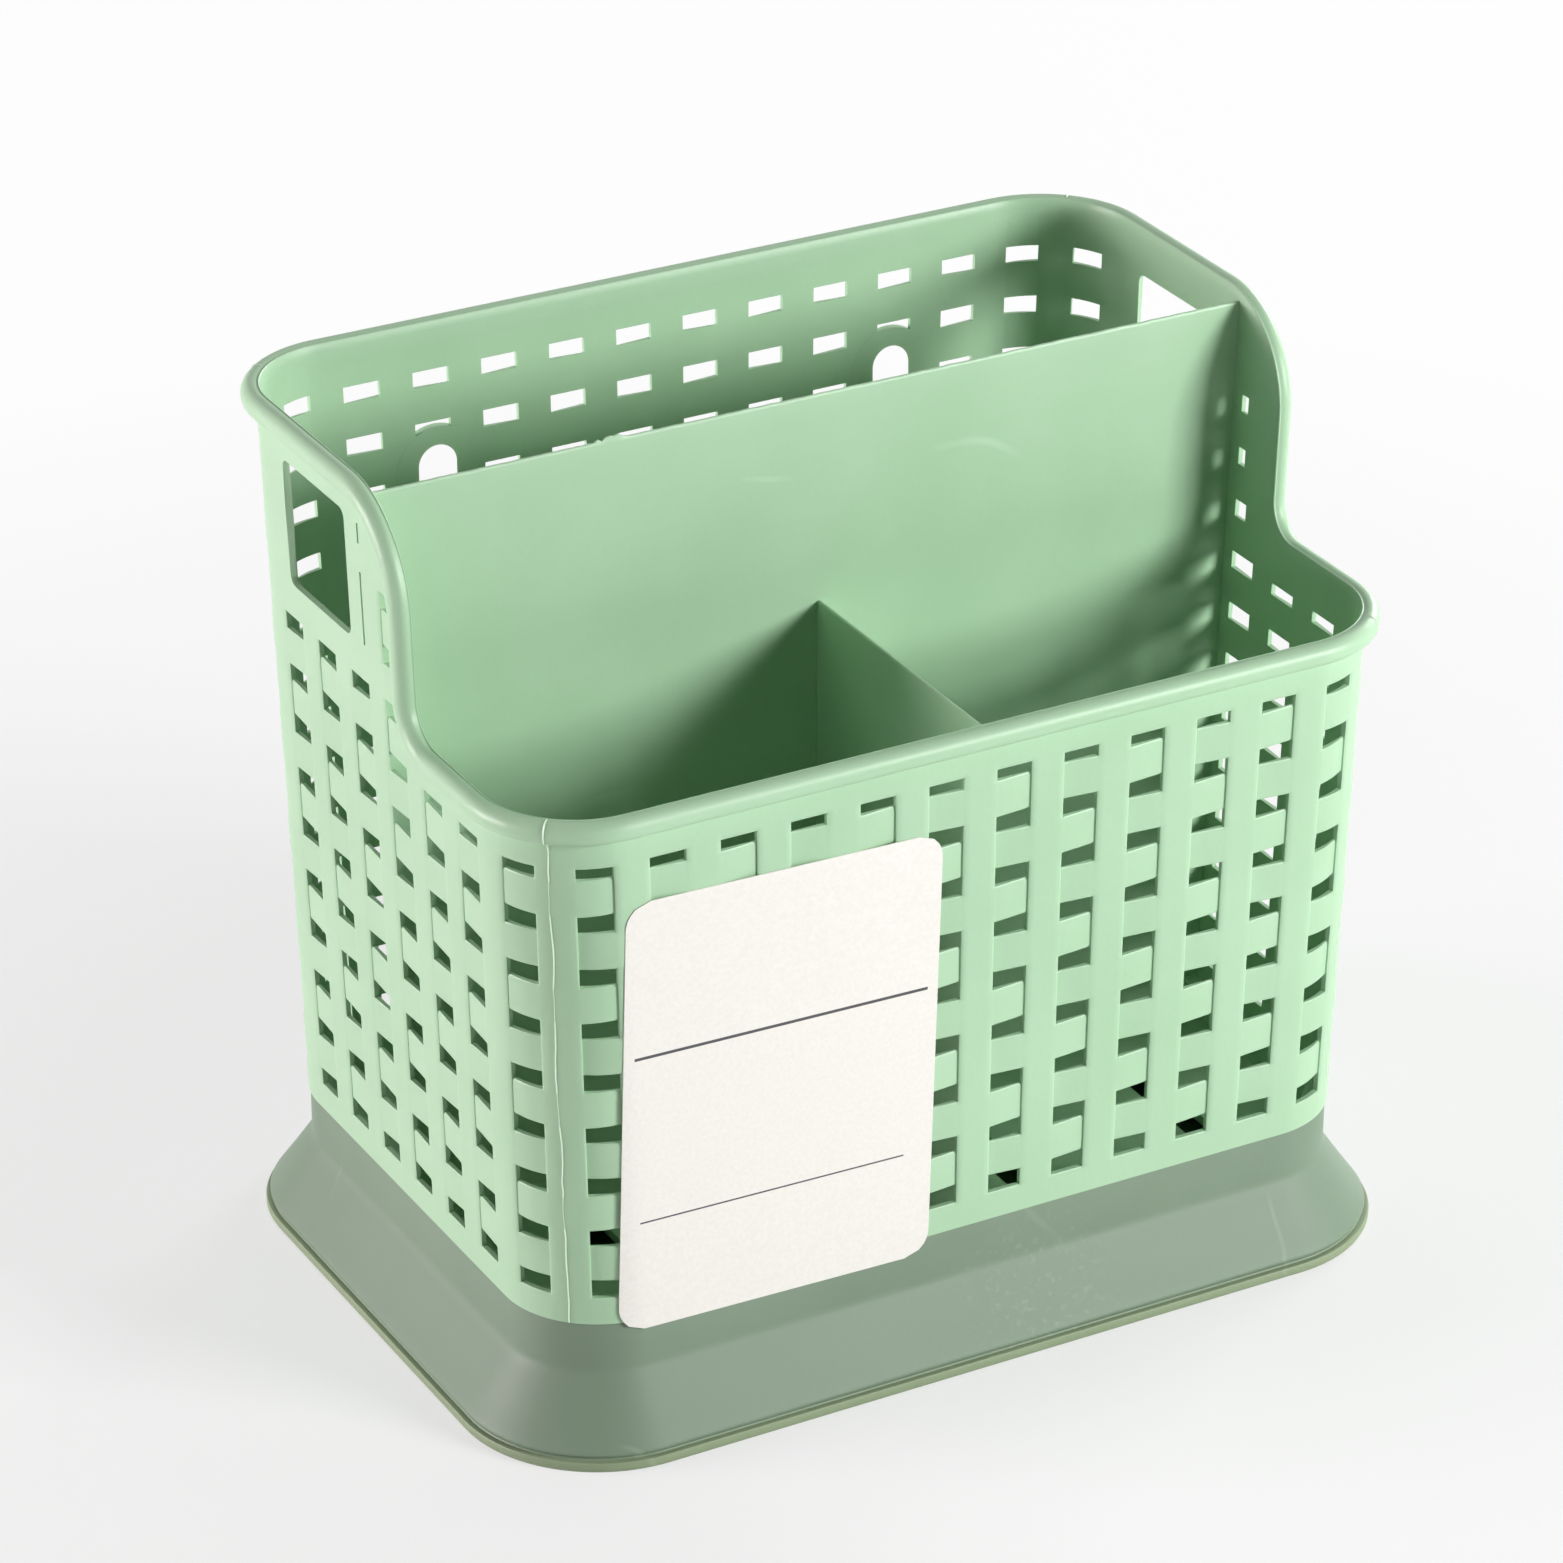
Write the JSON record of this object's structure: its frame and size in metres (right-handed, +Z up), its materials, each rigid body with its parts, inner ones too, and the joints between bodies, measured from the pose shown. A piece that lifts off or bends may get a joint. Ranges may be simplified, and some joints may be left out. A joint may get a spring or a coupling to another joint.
{
  "type": "chopstick holder",
  "caption": "Rectangular lattice basket with a stepped rim and divided compartments that stands in a flared drip tray and holds upright chopsticks and cutlery while they drain.",
  "frame": {"origin": "on the standing surface, under the middle of the drip tray's foot", "axes": "+X along the length, -Y towards the low front with the label, +Z up"},
  "size_m": [0.155, 0.11, 0.14],
  "materials": {
    "tray_plastic": "satin sage-green polypropylene",
    "basket_plastic": "satin light mint polypropylene",
    "label_paper": "plain white coated paper"
  },
  "bodies": {
    "tray": {"drip_tray": "tray_plastic"},
    "basket": {"basket": "basket_plastic", "label": "label_paper"}
  },
  "joints": [
    {"name": "lift_out", "type": "slide", "parent": "tray", "child": "basket", "axis": [0, 0, 1], "range_m": [0, 0.04]}
  ]
}
